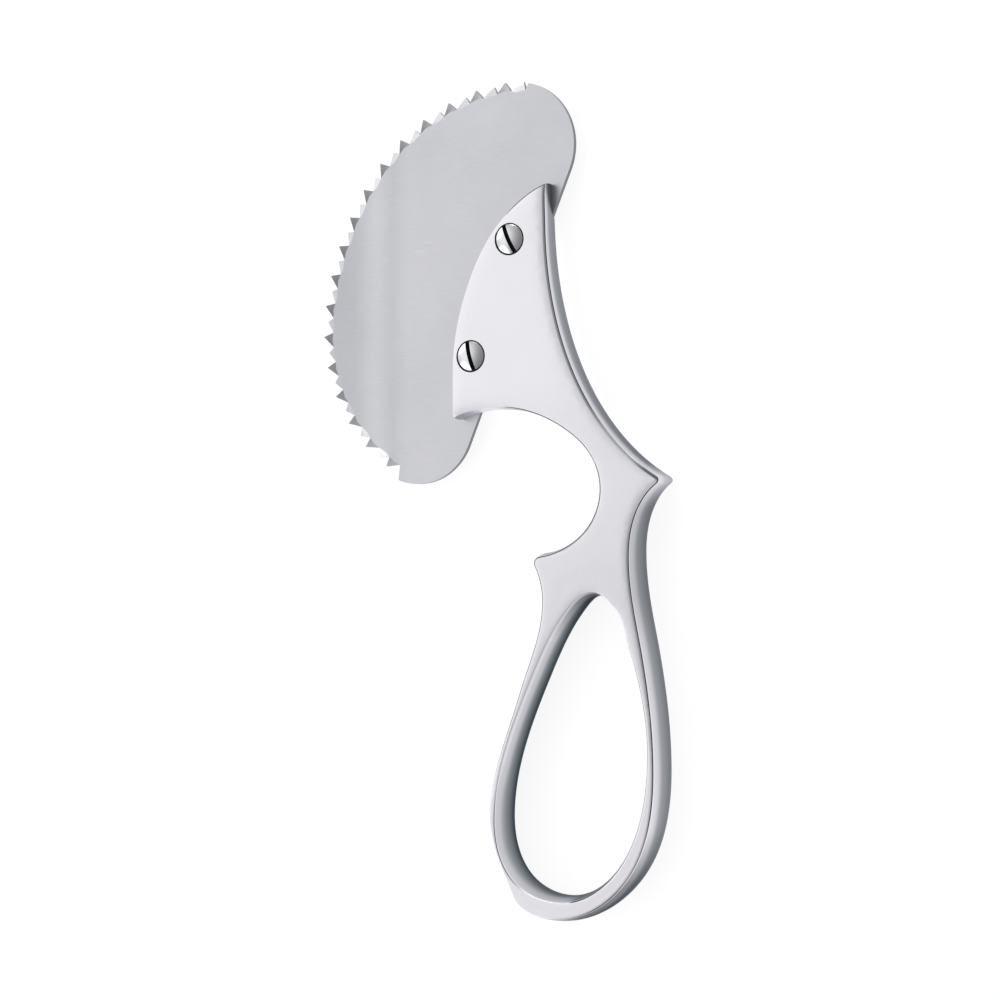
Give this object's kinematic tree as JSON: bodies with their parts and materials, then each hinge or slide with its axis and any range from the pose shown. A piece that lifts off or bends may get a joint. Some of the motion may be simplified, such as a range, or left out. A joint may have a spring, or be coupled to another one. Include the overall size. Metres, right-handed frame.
{
  "type": "plaster saw",
  "caption": "Hand plaster saw: a half-moon toothed blade screwed behind the head of a forged steel handle with a finger gap, a palm spur and a drop-shaped loop.",
  "frame": {"origin": "middle of the saw's outline in plan, at the height of the flat back that it lies on", "axes": "+Y along the saw from the loop to the head, +X from the teeth to the palm spur, +Z out of the face with the screw heads"},
  "size_m": [0.0698, 0.1494, 0.0082],
  "materials": {
    "handle_steel": "forged stainless steel, satin polished",
    "blade_steel": "hardened stainless sheet, fine ground",
    "screw_steel": "turned stainless steel, polished",
    "nut_steel": "turned stainless steel, satin"
  },
  "bodies": {
    "root": {"handle": "handle_steel", "saw_blade": "blade_steel", "upper_screw": "screw_steel", "lower_screw": "screw_steel", "upper_nut": "nut_steel", "lower_nut": "nut_steel"}
  },
  "joints": []
}
